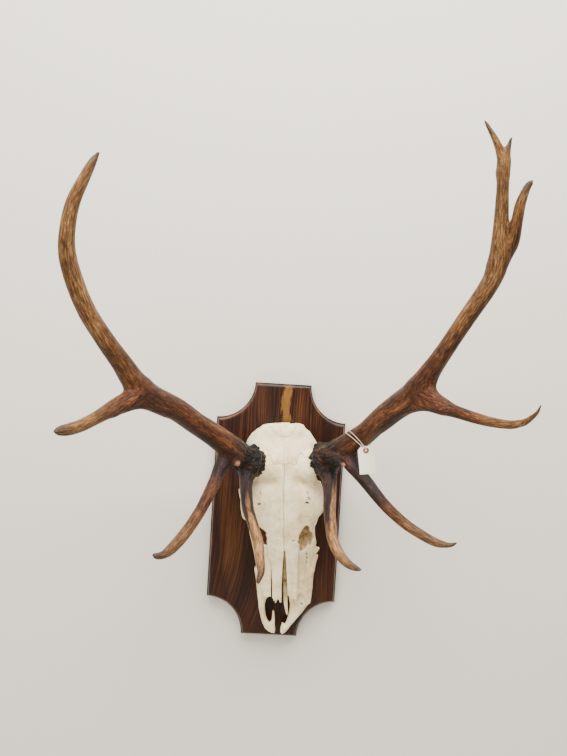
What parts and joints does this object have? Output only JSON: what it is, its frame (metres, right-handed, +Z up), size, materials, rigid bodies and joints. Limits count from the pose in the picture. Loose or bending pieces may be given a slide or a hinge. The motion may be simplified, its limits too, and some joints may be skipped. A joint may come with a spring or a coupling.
{
  "type": "elk skull mount",
  "caption": "European-style elk skull with full branching antlers on a scooped-corner wooden wall plaque, a thread-hung blank card tag on one antler.",
  "frame": {"origin": "middle of the plaque's flat back face, where it meets the wall", "axes": "+Z up the wall, towards the antler tips; +Y into the wall, out of the plaque's back; +X to the right of a viewer who faces the skull"},
  "size_m": [0.7149, 0.4991, 0.9655],
  "materials": {
    "bone": "bleached dry bone, ivory to cream, darker in pits and sutures",
    "antler": "reddish brown grooved antler, near black burrs, tan ridges, polished pale tine ends",
    "stained_wood": "dark stained and varnished pine with vertical grain, semi-gloss",
    "card": "cream manila card",
    "patch": "reddish brown reinforcing ring",
    "thread": "off-white cotton thread",
    "steel": "zinc-plated steel"
  },
  "bodies": {
    "root": {"skull": "bone", "left_antler_beam": "antler", "right_antler_beam": "antler", "left_brow_tine": "antler", "left_bez_tine": "antler", "left_trez_tine": "antler", "right_brow_tine": "antler", "right_bez_tine": "antler", "right_trez_tine": "antler", "right_fork_tine": "antler", "right_crown_tine": "antler", "skull_screw_1": "steel", "skull_screw_2": "steel", "tag": "card", "tag_patch": "patch", "tag_thread": "thread", "hanger_screw_1": "steel", "hanger_screw_2": "steel", "plaque": "stained_wood", "hanger_plate": "steel"}
  },
  "joints": []
}
